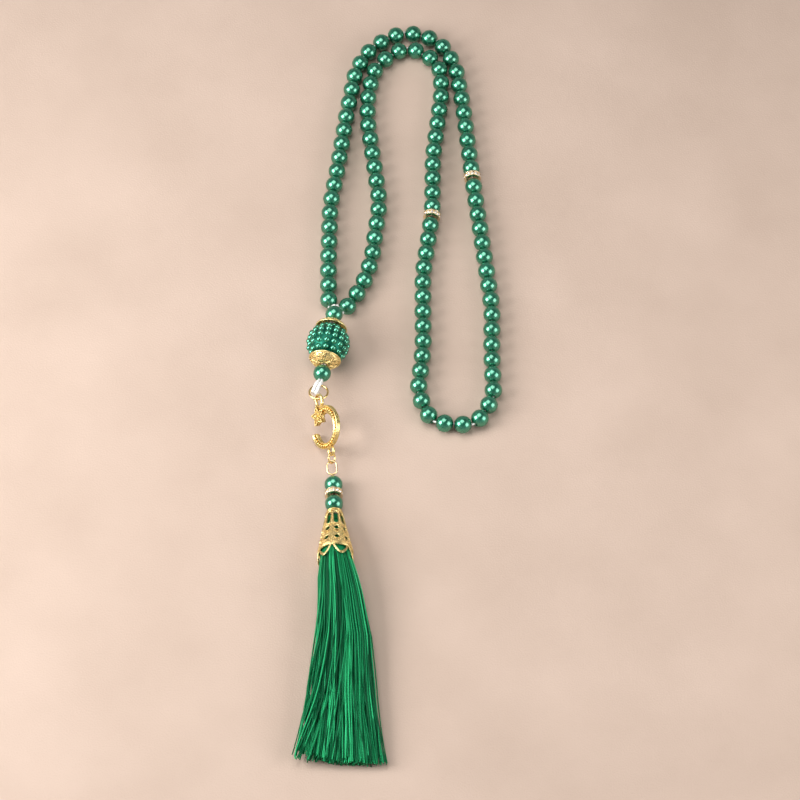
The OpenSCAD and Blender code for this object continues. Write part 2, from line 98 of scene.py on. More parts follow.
class Finish:
    """A material whose colour, roughness and bump are built up from textures."""

    def __init__(self, name, roughness, metallic=0.0, **sockets):
        self.material = bpy.data.materials.new(name)
        self.material.use_nodes = True
        self.tree = self.material.node_tree
        self.shader = self.tree.nodes["Principled BSDF"]
        self.coordinates = self.tree.nodes.new("ShaderNodeTexCoord").outputs["Object"]
        self.shader.inputs["Roughness"].default_value = roughness
        self.shader.inputs["Metallic"].default_value = metallic
        for socket, value in sockets.items():
            self.shader.inputs[socket.replace("_", " ")].default_value = value

    def node(self, kind, **inputs):
        made = self.tree.nodes.new(kind)
        for socket, value in inputs.items():
            entry = made.inputs[socket.replace("_", " ")]
            if isinstance(value, bpy.types.NodeSocket):
                self.tree.links.new(value, entry)
            else:
                entry.default_value = value
        return made

    def noise(self, size_mm, detail=3.0, stretch=(1, 1, 1)):
        """Soft blotches of about that size, longer where stretch is small."""
        placed = self.node("ShaderNodeMapping", Vector=self.coordinates, Scale=stretch)
        return self.node("ShaderNodeTexNoise", Vector=placed.outputs["Vector"],
                         Scale=1000 / size_mm, Detail=detail).outputs["Fac"]

    def ramp(self, factor, stops):
        """Turns a texture into colours: stops are (place, colour)."""
        made = self.node("ShaderNodeValToRGB", Fac=factor)
        made.color_ramp.elements[0].position = stops[0][0]
        made.color_ramp.elements[0].color = (*stops[0][1], 1)
        made.color_ramp.elements[1].position = stops[-1][0]
        made.color_ramp.elements[1].color = (*stops[-1][1], 1)
        for place, colour in stops[1:-1]:
            made.color_ramp.elements.new(place).color = (*colour, 1)
        return made.outputs["Color"]

    def span(self, factor, low, high):
        """Stretches a texture's middle range to run from low to high."""
        return self.node("ShaderNodeMapRange", Value=factor, From_Min=0.3, From_Max=0.7,
                         To_Min=low, To_Max=high).outputs["Result"]

    def colour(self, output):
        self.tree.links.new(output, self.shader.inputs["Base Color"])

    def rough(self, output):
        self.tree.links.new(output, self.shader.inputs["Roughness"])

    def bump(self, *layers):
        """Each layer is (texture, depth in millimetres)."""
        normal = None
        for height, depth_mm in layers:
            made = self.node("ShaderNodeBump", Height=height, Strength=1.0,
                             Distance=depth_mm / 1000)
            if normal is not None:
                self.tree.links.new(normal, made.inputs["Normal"])
            normal = made.outputs["Normal"]
        self.tree.links.new(normal, self.shader.inputs["Normal"])


TABLE_SIZE = 3
table_finish = Finish("pale_table", 0.85)
table_finish.colour(table_finish.ramp(
    table_finish.noise(60, 5), [(0.3, (0.47, 0.355, 0.285)), (0.7, (0.53, 0.405, 0.33))]))
table_finish.bump((table_finish.noise(0.8, 4), 0.12))
table_shape = bmesh.new()
bmesh.ops.create_grid(table_shape, x_segments=1, y_segments=1, size=TABLE_SIZE)
table_mesh = bpy.data.meshes.new("table")
table_shape.to_mesh(table_mesh)
table_shape.free()
table_mesh.materials.append(table_finish.material)
table = bpy.data.objects.new("table", table_mesh)
bpy.context.scene.collection.objects.link(table)


# Strand cord: one white waxed braid, a millimetre thick, threaded through every pearl.
# Its two ends climb side by side into the neck pearl of the head. Sizes are millimetres.
PEARL = 8
# The corners between the straight runs of pearls, as they lie on the table.
ROUTE = [
    (-32.5, 34.5), (-33, 59), (-32.5, 91.5), (-29, 115.5), (-25, 147.5), (-21, 172),
    (-13, 186), (2, 195), (18.5, 189.5), (26.5, 174.5), (30, 150), (34, 106.5),
    (38.5, 66.5), (42, 34.5), (41.5, 10), (42, -14.5), (33.5, -29), (14.5, -27.5),
    (8, -12), (10.5, 12), (10.5, 52.5), (15, 87), (15.5, 119.5), (20, 159.5),
    (18.5, 176), (3.5, 186), (-11, 175), (-15, 159), (-15.5, 142.5), (-12.5, 118),
    (-9.5, 93.5), (-13, 61), (-17.5, 45.5), (-26, 31.5)]
RUN_PEARLS = [3, 4, 3, 4, 3, 2, 2, 2, 2, 3, 5, 5, 4, 3, 3, 2, 2, 2, 3, 5, 4,
              4, 5, 2, 2, 2, 2, 2, 3, 3, 4, 2, 2]
# The runs that end at a spacer ring.
RINGED_RUNS = [10, 20]
RING_ROOM = 2.6
PEARL_PITCH = PEARL + 0.18
CORD = 1.0
CORD_ENDS_APART = Vector((0.55, 0, 0))
CORD_INTO_NECK = 0.5
CORD_STRAIGHT = 0.8
CORD_LEAD = 1.6
FIRST_SLACK = Vector((-0.3, 0.6, 0.4))
LAST_SLACK = Vector((0.3, 0.4, 0.4))


def run_of(index):
    """A straight run: its start, direction, pearl spacing and room for pearls."""
    start = Vector((*ROUTE[index], PEARL / 2))
    end = Vector((*ROUTE[index + 1], PEARL / 2))
    room = (end - start).length - (RING_ROOM if index in RINGED_RUNS else 0)
    return start, (end - start).normalized(), min(room / RUN_PEARLS[index], PEARL_PITCH), room


def wire(route, thickness, closed=False, fineness=3):
    """Round wire or cord along a route, with its ends closed."""
    bend = bpy.data.curves.new("route", "CURVE")
    bend.dimensions = "3D"
    bend.bevel_depth = thickness / 2
    bend.bevel_resolution = fineness
    bend.use_fill_caps = True
    line = bend.splines.new("POLY")
    line.points.add(len(route) - 1)
    for point, place in zip(line.points, route):
        point.co = (*place, 1)
    line.use_cyclic_u = closed
    holder = bpy.data.objects.new("route", bend)
    drawn = bpy.data.meshes.new_from_object(holder)
    shape = bmesh.new()
    shape.from_mesh(drawn)
    bmesh.ops.remove_doubles(shape, verts=shape.verts, dist=1e-5)
    bmesh.ops.recalc_face_normals(shape, faces=shape.faces)
    bpy.data.meshes.remove(drawn)
    bpy.data.objects.remove(holder)
    bpy.data.curves.remove(bend)
    return shape


def smoothed(route, closed=False, rounds=2):
    """Rounds a route's corners by cutting each one off, again and again."""
    points = [Vector(p) for p in route]
    for _ in range(rounds):
        pairs = list(zip(points, points[1:] + ([points[0]] if closed else [])))
        cut = [q for a, b in pairs for q in (a.lerp(b, 0.25), a.lerp(b, 0.75))]
        points = cut if closed else [points[0]] + cut + [points[-1]]
    return points


def add(shape, extra, place=Matrix.Identity(4)):
    """Adds one shape to another, at a place."""
    passed = bpy.data.meshes.new("passed")
    extra.to_mesh(passed)
    passed.transform(place)
    shape.from_mesh(passed)
    bpy.data.meshes.remove(passed)


def piece(name, shape, finish, body, slot, *nodes, smooth=True):
    """Makes a finished piece from a shape in millimetres, on its body of the frame."""
    shape.transform(Matrix.Scale(0.001, 4))
    mesh = bpy.data.meshes.new(name)
    shape.to_mesh(mesh)
    shape.free()
    mesh.polygons.foreach_set("use_smooth", [smooth] * len(mesh.polygons))
    mesh.materials.append(finish.material)
    made = bpy.data.objects.new(name, mesh)
    bpy.context.scene.collection.objects.link(made)
    if isinstance(body, str):
        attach(made, body)
    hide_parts(*nodes)
    return made


HEAD_AT = Vector((-32.4, 10.6, 10.05))
HEAD_TURN = math.radians(-9)
HEAD_MOUTH = 20.1
head_place = (Matrix.Translation(HEAD_AT)
              @ Euler((-math.pi / 2, 0, HEAD_TURN)).to_matrix().to_4x4())
head_way = Vector((-math.sin(HEAD_TURN), math.cos(HEAD_TURN), 0))
neck_at = HEAD_AT + head_way * HEAD_MOUTH
loop_at = HEAD_AT - head_way * HEAD_MOUTH

cord_finish = Finish("white_cord", 0.34, Sheen_Weight=0.3, Coat_Weight=0.45, Coat_Roughness=0.2)
cord_finish.colour(cord_finish.ramp(
    cord_finish.noise(0.9), [(0.35, (0.72, 0.72, 0.69)), (0.65, (0.88, 0.87, 0.84))]))
braid = cord_finish.node("ShaderNodeTexWave", Vector=cord_finish.coordinates, Scale=420.0,
                         Distortion=2.0, Detail=1.0)
braid.bands_direction = "DIAGONAL"
cord_finish.bump((braid.outputs["Fac"], 0.1), (cord_finish.noise(0.25), 0.04))
neck_start = neck_at + head_way * CORD_INTO_NECK
neck_turn = neck_start + head_way * CORD_STRAIGHT
cord_points = [neck_start - CORD_ENDS_APART, neck_turn - CORD_ENDS_APART]
for index in range(len(RUN_PEARLS)):
    start, way, pitch, room = run_of(index)
    half = RUN_PEARLS[index] * pitch / 2
    first, last = start + way * (room / 2 - half), start + way * (room / 2 + half)
    if index == 0:
        outer = first - way * CORD_LEAD
        cord_points += [(neck_start + outer) / 2 + FIRST_SLACK, outer]
    cord_points += [first + way, last - way]
outer = last + way * CORD_LEAD
cord_points += [outer, (neck_start + outer) / 2 + LAST_SLACK,
                neck_turn + CORD_ENDS_APART, neck_start + CORD_ENDS_APART]
piece("strand_cord_braid", wire(smoothed(cord_points), CORD), cord_finish, "strand",
      "white_cord", "strand_cord")


# Pearls of the strand: plastic beads coated with pearl lacquer, eight millimetres, drilled
# through, with the coat worn thin round each hole. They are threaded on the cord.
HOLE = 1.5
LIP_WIDE = 0.07
LIP_DEEP = 0.1


def turned(outline, sides):
    """Turns a closed outline of (radius, height) about the Z axis, all the way round."""
    shape = bmesh.new()
    corners = [shape.verts.new((radius, 0, height)) for radius, height in outline]
    edges = [shape.edges.new(pair) for pair in zip(corners, corners[1:] + corners[:1])]
    bmesh.ops.spin(shape, geom=corners + edges, cent=(0, 0, 0), axis=(0, 0, 1),
                   angle=2 * math.pi, steps=sides, use_merge=True)
    bmesh.ops.remove_doubles(shape, verts=shape.verts, dist=1e-5)
    bmesh.ops.recalc_face_normals(shape, faces=shape.faces)
    return shape


def drilled_ball(size, hole, sides=36, rows=18):
    """A round bead with a straight hole and a small lip at each mouth."""
    lip = math.acos((hole / 2 + LIP_WIDE) / (size / 2))
    outline = [(size / 2 * math.cos(lip * (1 - 2 * row / rows)),
                size / 2 * math.sin(lip * (1 - 2 * row / rows))) for row in range(rows + 1)]
    mouth = outline[0][1] - LIP_DEEP
    return turned(outline + [(hole / 2, -mouth), (hole / 2, mouth)], sides)


def along(way):
    """The turn that lays a bead's hole along a direction."""
    return Vector(way).to_track_quat("Z", "Y").to_matrix().to_4x4()


def pearl_finish(name, dark, light, roughness):
    """Pearl lacquer: green metal sheen under a clear coat, a little uneven."""
    made = Finish(name, roughness, metallic=0.85, Coat_Weight=0.8, Coat_Roughness=0.14,
                  Coat_IOR=1.9, Specular_Tint=(0.10, 0.60, 0.40, 1))
    made.colour(made.ramp(made.noise(5, 4), [(0.3, dark), (0.7, light)]))
    made.rough(made.span(made.noise(1.2), roughness - 0.04, roughness + 0.06))
    made.bump((made.noise(0.35, 5), 0.006), (made.noise(2.5), 0.02))
    return made


lacquer = pearl_finish("pearl_lacquer", (0.016, 0.210, 0.115), (0.030, 0.29, 0.17), 0.28)
one_pearl = drilled_ball(PEARL, HOLE)
for index in range(len(RUN_PEARLS)):
    start, way, pitch, room = run_of(index)
    run = bmesh.new()
    for k in range(RUN_PEARLS[index]):
        centre = start + way * (room / 2 + (k - (RUN_PEARLS[index] - 1) / 2) * pitch)
        add(run, one_pearl, Matrix.Translation(centre) @ along(way))
    node = f"pearl_run_{index + 1:02d}"
    piece(f"pearls_of_run_{index + 1:02d}", run, lacquer, node, "pearl_green", node)


# Spacer rings: pale gilt channel rings, each holding a row of clear cut-glass stones
# between two flanges, with a small bar between one stone and the next.
RING = 8
RING_THICK = 2.5
STONES = 12
pale_gilt = Finish("pale_gilt", 0.2, metallic=1.0)
pale_gilt.colour(pale_gilt.ramp(
    pale_gilt.noise(1.5), [(0.3, (0.80, 0.62, 0.36)), (0.7, (0.92, 0.80, 0.60))]))
pale_gilt.rough(pale_gilt.span(pale_gilt.noise(0.5), 0.14, 0.32))
pale_gilt.bump((pale_gilt.noise(0.3), 0.01))
cut_glass = Finish("cut_glass", 0.04, metallic=0.35, Coat_Weight=1.0, Coat_Roughness=0.02,
                   Specular_IOR_Level=0.9)
cut_glass.colour(cut_glass.ramp(
    cut_glass.noise(0.9), [(0.3, (0.66, 0.60, 0.58)), (0.5, (0.90, 0.87, 0.84)),
                           (0.7, (0.98, 0.97, 0.95))]))


def ring_metal():
    """The gilt channel, with a bar between each stone and the next."""
    half = RING_THICK / 2
    outer = RING / 2
    shape = turned([(HOLE / 2, -half), (outer - 0.25, -half), (outer - 0.06, -half + 0.08),
                    (outer, -half + 0.22), (outer - 0.06, -half + 0.36),
                    (outer - 0.75, -half + 0.45), (outer - 0.95, -half + 0.6),
                    (outer - 0.95, half - 0.6), (outer - 0.75, half - 0.45),
                    (outer - 0.06, half - 0.36), (outer, half - 0.22),
                    (outer - 0.06, half - 0.08), (outer - 0.25, half), (HOLE / 2, half)], 72)
    bar = bmesh.new()
    bmesh.ops.create_cone(bar, cap_ends=True, segments=8, radius1=0.16, radius2=0.16,
                          depth=RING_THICK - 0.7)
    for k in range(STONES):
        add(shape, bar, Matrix.Rotation(2 * math.pi * (k + 0.5) / STONES, 4, "Z")
            @ Matrix.Translation((outer - 0.35, 0, 0)))
    bar.free()
    return shape


def ring_stones():
    """The row of cut stones, each a low cone with a flat top."""
    shape = bmesh.new()
    stone = bmesh.new()
    bmesh.ops.create_cone(stone, cap_ends=True, segments=8, radius1=0.74, radius2=0.42,
                          depth=0.42)
    top = [f for f in stone.faces if f.normal.z > 0.9]
    bmesh.ops.inset_region(stone, faces=top, thickness=0.12, depth=0.06)
    for k in range(STONES):
        add(shape, stone, Matrix.Rotation(2 * math.pi * k / STONES, 4, "Z")
            @ Matrix.Translation((RING / 2 - 0.42, 0, 0))
            @ Matrix.Rotation(math.pi / 2, 4, "Y"))
    stone.free()
    return shape


def spacer_ring(name, place, body, metal_node, stone_node):
    """A whole spacer ring, its metal and its stones, put in its place."""
    for part, made, finish, slot, node in [
            ("metal", ring_metal(), pale_gilt, "pale_gilt", metal_node),
            ("stones", ring_stones(), cut_glass, "clear_stone", stone_node)]:
        made.transform(place)
        piece(f"{name}_{part}", made, finish, body, slot, node, smooth=part == "metal")


for number, index in enumerate(RINGED_RUNS, 1):
    start, way, pitch, room = run_of(index)
    centre = start + way * (room / 2 + (RUN_PEARLS[index] * pitch + RING_ROOM) / 2)
    spacer_ring(f"spacer_{number}", Matrix.Translation(centre) @ along(way),
                f"spacer_ring_{number}", f"spacer_ring_{number}", f"spacer_stones_{number}")


# Head pearls: two more lacquered pearls with wider holes, one where the strand's ends
# meet and one where the cord loops come out.
HEAD_HOLE = 2.6
END_PEARL = 16.1
for name, height in [("neck_pearl", END_PEARL), ("end_pearl", -END_PEARL)]:
    pearl = drilled_ball(PEARL, HEAD_HOLE)
    pearl.transform(head_place @ Matrix.Translation((0, 0, height)))
    piece(f"{name}_bead", pearl, lacquer, name, "pearl_green", name)


# Head cord: four lines of the same white cord through the head. They come out of the end
# pearl as two loops side by side, pressed flat, and the jump ring hangs in them.
LOOP_TURN = math.radians(-23)
STRAND_APART = 0.62
LINE_LIFT = Vector((0, 0, 0.52))
LOOP_CORD = CORD * 1.05
LOOP_PRESSED = 0.5
LOOP_SPREAD = 0.22
LOOP_EASE = 2.5
# Each loop's side view: how far out from the pearl, and how high above its middle.
LOOP = [(0, 0.55), (1.2, 0.98), (2.2, 1.28), (3.2, 1.34), (4.4, 1.24), (6, 0.95), (6.9, 0.5),
        (7.15, 0)]
loop_way = Vector((math.sin(LOOP_TURN), -math.cos(LOOP_TURN), 0))
loop_side = Vector((math.cos(LOOP_TURN), math.sin(LOOP_TURN), 0))
head_cord = bmesh.new()
for side in (-1, 1):
    aside = loop_side * side * STRAND_APART
    over = [loop_at + loop_way * reach + Vector((0, 0, rise)) for reach, rise in LOOP]
    under = [loop_at + loop_way * reach - Vector((0, 0, rise)) for reach, rise in LOOP[-2::-1]]
    line = [neck_at + LINE_LIFT, loop_at + head_way + LINE_LIFT, *over,
            *under, loop_at + head_way - LINE_LIFT, neck_at - LINE_LIFT]
    strand = wire(smoothed([p + aside for p in line]), LOOP_CORD)
    # Outside the pearl each loop is pressed wider and stands off its neighbour.
    for vert in strand.verts:
        drawn_out = min(1, max(0, (vert.co - loop_at).dot(loop_way) / LOOP_EASE))
        across = (vert.co - loop_at - aside).dot(loop_side)
        vert.co += loop_side * drawn_out * (LOOP_PRESSED * across + LOOP_SPREAD * side)
    add(head_cord, strand)
piece("head_cord_braid", head_cord, cord_finish, "head_cord", "white_cord", "head_cord")


# Beaded ball: a drilled plastic core with seven rows of seed pearls glued on it, each row
# set half a pearl on from the last.
CORE = 18
SEED = 2.9
SEED_PITCH = 3.3
SEED_ROWS = 7
ROW_STEP = 20
seed_ring = CORE / 2 - 0.4
seed_lacquer = pearl_finish("seed_lacquer", (0.014, 0.27, 0.15), (0.03, 0.36, 0.21), 0.2)
# The core's own green is painted far darker than the seed pearls, as shade for the gaps between
# them.
core_finish = Finish("ball_core_green", 0.36, metallic=0.75)
core_finish.colour(core_finish.ramp(
    core_finish.noise(1.0), [(0.35, (0.001, 0.075, 0.045)), (0.65, (0.004, 0.13, 0.08))]))
core_finish.bump((core_finish.noise(0.4), 0.05))
core = drilled_ball(CORE, HEAD_HOLE, 48, 30)
core.transform(head_place)
piece("ball_core_drilled", core, core_finish, "ball", "ball_core_green", "ball_core")
seeds = bmesh.new()
seed = bmesh.new()
bmesh.ops.create_uvsphere(seed, u_segments=18, v_segments=12, radius=SEED / 2)
for row in range(SEED_ROWS):
    latitude = math.radians(ROW_STEP * (row - SEED_ROWS // 2))
    ring_r = seed_ring * math.cos(latitude)
    count = math.floor(2 * math.pi * ring_r / SEED_PITCH + 0.3)
    for k in range(count):
        turn = math.pi / 2 + 2 * math.pi * (k + (0.5 if row % 2 == 0 else 0)) / count
        add(seeds, seed, head_place @ Matrix.Rotation(turn, 4, "Z")
            @ Matrix.Translation((ring_r, 0, seed_ring * math.sin(latitude))))
seed.free()
piece("ball_seed_pearls", seeds, seed_lacquer, "ball", "seed_pearl", "seed_pearls")


# Caps: two gilt filigree bowls that hold the ball, pressed from wire petals with small
# scroll rings and grains soldered inside them, and a plain collar at the cord.
CAP_POLE = 11.95
CAP_DEPTH = 3.6
CAP_RIM = 7.3
COLLAR = 2.3
CAP_PETALS = 6
CAP_PETAL_TURN = 0.2
CAP_BULGE = 2.2
# The line that the wires follow lies a little inside the cap's rim and its pole.
WIRE_RIM = CAP_RIM - 0.3
WIRE_POLE = CAP_POLE - 0.25
WIRE_DROP = CAP_DEPTH - 0.35
# Inside each petal: how far out, how far aside, and how wide each scroll ring is.
SCROLLS = [(0.36, 0, 0.9), (0.66, -0.42, 0.95), (0.66, 0.42, 0.95), (0.86, 0, 0.8)]
PETAL_GRAINS = [(0.2, 0), (0.5, 0), (0.5, -0.62), (0.5, 0.62), (0.72, 0), (0.84, -0.5),
                (0.84, 0.5), (0.3, 1), (0.5, 1), (0.68, 1), (0.84, 1)]


def gilt(name, light, hollow_shade, roughness=0.2):
    """Gilt plating: warm gold with painted shade that darkens it in the hollows, and a little
    scuffed.
    """
    made = Finish(name, roughness, metallic=1.0)
    # Painted shade: ambient occlusion turns the gold towards a darker colour in hollows and
    # between wires.
    hollow_shade_mask = made.node("ShaderNodeAmbientOcclusion", Distance=0.0012)
    shade = made.ramp(hollow_shade_mask.outputs["AO"], [(0.25, hollow_shade), (0.85, light)])
    worn = made.ramp(made.noise(0.8), [(0.3, (0.84, 0.80, 0.70)), (0.7, (1, 1, 1))])
    mixed = made.node("ShaderNodeMix")
    mixed.data_type = "RGBA"
    mixed.blend_type = "MULTIPLY"
    mixed.inputs[0].default_value = 1
    made.tree.links.new(shade, mixed.inputs[6])
    made.tree.links.new(worn, mixed.inputs[7])
    made.colour(mixed.outputs[2])
    made.rough(made.span(made.noise(0.4), roughness - 0.06, roughness + 0.12))
    made.bump((made.noise(0.22), 0.018), (made.noise(1.1), 0.02))
    return made


# The gold's second colour is its painted shade in the hollows.
filigree_gilt = gilt("filigree_gilt", (1.0, 0.82, 0.40), (0.60, 0.33, 0.08), 0.26)


def cap_point(reach, angle, proud=0.0):
    """A point on the cap: reach runs from 0 at the collar to 1 at the rim."""
    radius = COLLAR + (WIRE_RIM - COLLAR) * reach
    height = WIRE_POLE - WIRE_DROP * reach ** CAP_BULGE
    return Vector((radius * math.cos(angle), radius * math.sin(angle), height + proud))


def full_turn(steps):
    """Angles in equal steps once round."""
    return [2 * math.pi * t / steps for t in range(steps)]


def grains(shape, places, size):
    """Small solid grains, soldered on at each place."""
    grain = bmesh.new()
    bmesh.ops.create_uvsphere(grain, u_segments=8, v_segments=6, radius=size / 2)
    for place in places:
        add(shape, grain, Matrix.Translation(place))
    grain.free()


def pierced(shape, cutters):
    """Cuts one shape out of another."""
    made = []
    for source in (shape, cutters):
        mesh = bpy.data.meshes.new("cutting")
        source.to_mesh(mesh)
        source.free()
        made.append(bpy.data.objects.new("cutting", mesh))
        bpy.context.scene.collection.objects.link(made[-1])
    cut = made[0].modifiers.new("cut", "BOOLEAN")
    cut.operation = "DIFFERENCE"
    cut.solver = "EXACT"
    cut.object = made[1]
    cut.use_self = True
    view = bpy.context.evaluated_depsgraph_get()
    result = bmesh.new()
    result.from_mesh(made[0].evaluated_get(view).to_mesh())
    for holder in made:
        mesh = holder.data
        bpy.data.objects.remove(holder)
        bpy.data.meshes.remove(mesh)
    return result


def filigree_cap():
    """A cap standing on the Z axis: its pierced sheet, petal wires, scrolls and grains."""
    outer = [cap_point(step / 8, 0) for step in range(9)]
    hole = HEAD_HOLE / 2 + 0.05
    sheet = [(hole, CAP_POLE - 0.15)]
    sheet += [(p.x, p.z) for p in outer]
    sheet += [(p.x - 0.12, p.z - 0.34) for p in outer[::-1]]
    sheet += [(hole, CAP_POLE - 0.75)]
    holes = bmesh.new()
    details = bmesh.new()
    for k in range(CAP_PETALS):
        middle = 2 * math.pi * k / CAP_PETALS + CAP_PETAL_TURN
        half = math.pi / CAP_PETALS
        border = []
        for s in full_turn(28):
            reach = 0.5 - 0.5 * math.cos(s)
            swing = half * 0.93 * math.sin(s) * (0.75 + 0.3 * reach)
            border.append(cap_point(0.04 + 0.94 * reach, middle + swing, 0.05))
        add(details, wire(border, 0.55, closed=True, fineness=2))
        for reach, aside, size in SCROLLS:
            centre = cap_point(reach, middle + aside * half)
            slope = (cap_point(reach + 0.05, middle + aside * half)
                     - cap_point(reach - 0.05, middle + aside * half)).normalized()
            around = Vector((-math.sin(middle), math.cos(middle), 0))
            normal = slope.cross(around).normalized()
            if normal.z < 0:
                normal = -normal
            stood = Matrix.Translation(centre) @ along(normal)
            cutter = bmesh.new()
            bmesh.ops.create_cone(cutter, cap_ends=True, segments=14, radius1=size / 2 - 0.14,
                                  radius2=size / 2 - 0.14, depth=3)
            add(holes, cutter, stood)
            cutter.free()
            scroll = wire([Vector((size / 2 * math.cos(a), size / 2 * math.sin(a), 0.05))
                           for a in full_turn(16)], 0.26, True, 1)
            add(details, scroll, stood)
            scroll.free()
        grains(details, [cap_point(reach, middle + aside * half, 0.12)
                         for reach, aside in PETAL_GRAINS], 0.5)
    add(details, wire([cap_point(1, a) for a in full_turn(72)], 0.62, True, 2))
    grains(details, [cap_point(0.97, a, 0.3) for a in full_turn(54)], 0.46)
    add(details, wire([cap_point(0, a) for a in full_turn(36)], 0.5, True, 2))
    cap = pierced(turned(sheet, 96), holes)
    add(cap, details)
    details.free()
    return cap


for name, flip in [("upper_cap", 0), ("lower_cap", math.pi)]:
    cap = filigree_cap()
    cap.transform(head_place @ Matrix.Rotation(flip, 4, "X"))
    piece(f"{name}_filigree", cap, filigree_gilt, name, "gilt_filigree", name)


# Jump ring: a round of gilt wire with a saw cut, hung in the cord loops, with the charm's
# bail on its far side.
JUMP_AT = Vector((-36.317, -15.772, 10.728))
JUMP_TURN = (-9.512, 0, 4)
JUMP_R = 4.1
JUMP_WIRE = 1.0
SAW_CUT = 0.12


def placed(at, turn):
    """A place in the frame: moved there and turned about X, Y and Z in degrees."""
    return Matrix.Translation(at) @ Euler([math.radians(a) for a in turn]).to_matrix().to_4x4()


def cut_ring(radius, thickness, cut_at, sides=64):
    """A ring of wire whose two ends almost meet."""
    gap = SAW_CUT / radius
    start = math.radians(cut_at) + gap / 2
    return wire([Vector((radius * math.cos(a), radius * math.sin(a), 0)) for a in
                 [start + (2 * math.pi - gap) * t / sides for t in range(sides + 1)]], thickness,
                fineness=4)


# The gold's second colour is its painted shade in the hollows.
wire_gilt = gilt("wire_gilt", (0.98, 0.74, 0.34), (0.66, 0.38, 0.12), 0.16)
jump_ring = cut_ring(JUMP_R, JUMP_WIRE, 25)
jump_ring.transform(placed(JUMP_AT, JUMP_TURN))
piece("jump_ring_wire", jump_ring, wire_gilt, "jump_ring", "gilt_wire", "jump_ring")


# Crescent charm: one gilt casting. The crescent has a raised edge on both sides of a row
# of grains, and ridges round its wall; the star closes it, a bail and a loop carry it.
CHARM_AT = Vector((-33.824, -33.273, 9.459))
CHARM_TURN = (17, -57, -1)
CRESCENT_R = 9.9
CUT_R = 6.7
CUT_AT = Vector((0.3, -0.7, 0))
CAST = 1.9
TIP = math.radians(178)
CRESCENT_SPAN = math.radians(292)
STAR_AT = Vector((-2.1, 6.3, 0))
STAR_R = 4.4
STAR_TURN = math.radians(155)
STAR_WAIST = 0.52
STAR_PROUD = 0.5
BAIL_Y = 12.9
BAIL_WIRE = 1.26
BAIL_BEND = 2.8 - 0.64
BAIL_STRAIGHT = 0.6
FOOT_Y = -11.7
FOOT_R = 1.95
FOOT_WIRE = 0.92
GRAIN_ROOM = 1.5
# The gold's second colour is its painted shade in the hollows.
cast_gilt = gilt("cast_gilt", (1.0, 0.81, 0.36), (0.62, 0.35, 0.08), 0.22)


def cut_edge(angle):
    """How far from the middle the crescent's inner edge is, in a direction."""
    way = Vector((math.cos(angle), math.sin(angle), 0))
    middle = CUT_AT.dot(way)
    return middle + math.sqrt(CUT_R ** 2 - CUT_AT.length_squared + middle ** 2)


# The casting's cut face: share of the way out from the inner edge, and height.
section = [(0, -CAST), (0, -1.5), (0.05, -1.38), (0, -1.26), (0, -0.8), (0.05, -0.68), (0, -0.56),
           (0, -0.12), (0.05, 0.03), (0.15, 0.03), (0.2, -0.26), (0.8, -0.26), (0.85, 0.03),
           (0.95, 0.03), (1, -0.12), (1, -0.56), (0.94, -0.7), (1, -0.84), (1, -1.2),
           (0.94, -1.34), (1, -1.48), (1, -CAST)]
crescent = bmesh.new()
corners = [crescent.verts.new((CUT_R + across * (CRESCENT_R - CUT_R), 0, height))
           for across, height in section]
edges = [crescent.edges.new(pair) for pair in zip(corners, corners[1:] + corners[:1])]
bmesh.ops.spin(crescent, geom=corners + edges, cent=(0, 0, 0), axis=(0, 0, 1),
               angle=CRESCENT_SPAN, steps=110)
for vert in crescent.verts:
    swept = math.atan2(vert.co.y, vert.co.x) % (2 * math.pi)
    if swept > CRESCENT_SPAN + 0.01:
        swept = 0
    across = (math.hypot(vert.co.x, vert.co.y) - CUT_R) / (CRESCENT_R - CUT_R)
    closing = min(1, 0.45 + 0.55 * math.sin(min(1, swept / 0.2) * math.pi / 2))
    inner = cut_edge(TIP + swept)
    reach = inner + (0.5 + (across - 0.5) * closing) * (CRESCENT_R - inner)
    vert.co.x, vert.co.y = (reach * math.cos(TIP + swept), reach * math.sin(TIP + swept))
bmesh.ops.holes_fill(crescent, edges=[e for e in crescent.edges if e.is_boundary], sides=0)
bmesh.ops.recalc_face_normals(crescent, faces=crescent.faces)
row = []
angle = TIP + math.radians(6)
while angle < TIP + CRESCENT_SPAN:
    inner = cut_edge(angle)
    reach = (inner + CRESCENT_R) / 2
    row.append(Vector((reach * math.cos(angle), reach * math.sin(angle), -0.12)))
    angle += GRAIN_ROOM / reach
grains(crescent, row, 1.15)


def star_line(height):
    """The star's outline of five points and five waists."""
    return [Vector((STAR_AT.x + r * math.cos(STAR_TURN + math.pi / 5 * k),
                    STAR_AT.y + r * math.sin(STAR_TURN + math.pi / 5 * k), height))
            for k, r in enumerate([STAR_R, STAR_R * STAR_WAIST] * 5)]


star = bmesh.new()
face = star.faces.new([star.verts.new(p) for p in star_line(-CAST)])
raised = bmesh.ops.extrude_face_region(star, geom=[face])["geom"]
bmesh.ops.translate(star, verts=[v for v in raised if isinstance(v, bmesh.types.BMVert)],
                    vec=(0, 0, CAST + STAR_PROUD))
top = [f for f in raised if isinstance(f, bmesh.types.BMFace)]
bmesh.ops.inset_region(star, faces=top, thickness=0.35, depth=-0.18)
centre = bmesh.ops.poke(star, faces=top)["verts"]
bmesh.ops.translate(star, verts=centre, vec=(0, 0, 0.75))
bmesh.ops.recalc_face_normals(star, faces=star.faces)
add(crescent, star)
star.free()
outline = star_line(STAR_PROUD)
stops = [a.lerp(b, t / 4) for a, b in zip(outline, outline[1:] + outline[:1]) for t in range(4)]
grains(crescent, stops, 0.72)
grains(crescent, [stop - Vector((0, 0, 1.1)) for stop in stops], 0.5)
grains(crescent, [STAR_AT + Vector((1.5 * math.cos(STAR_TURN + 2 * math.pi * k / 5),
                                    1.5 * math.sin(STAR_TURN + 2 * math.pi * k / 5), 0.65))
                  for k in range(5)], 0.9)
grains(crescent, [STAR_AT + Vector((0, 0, 1.05))], 1.1)
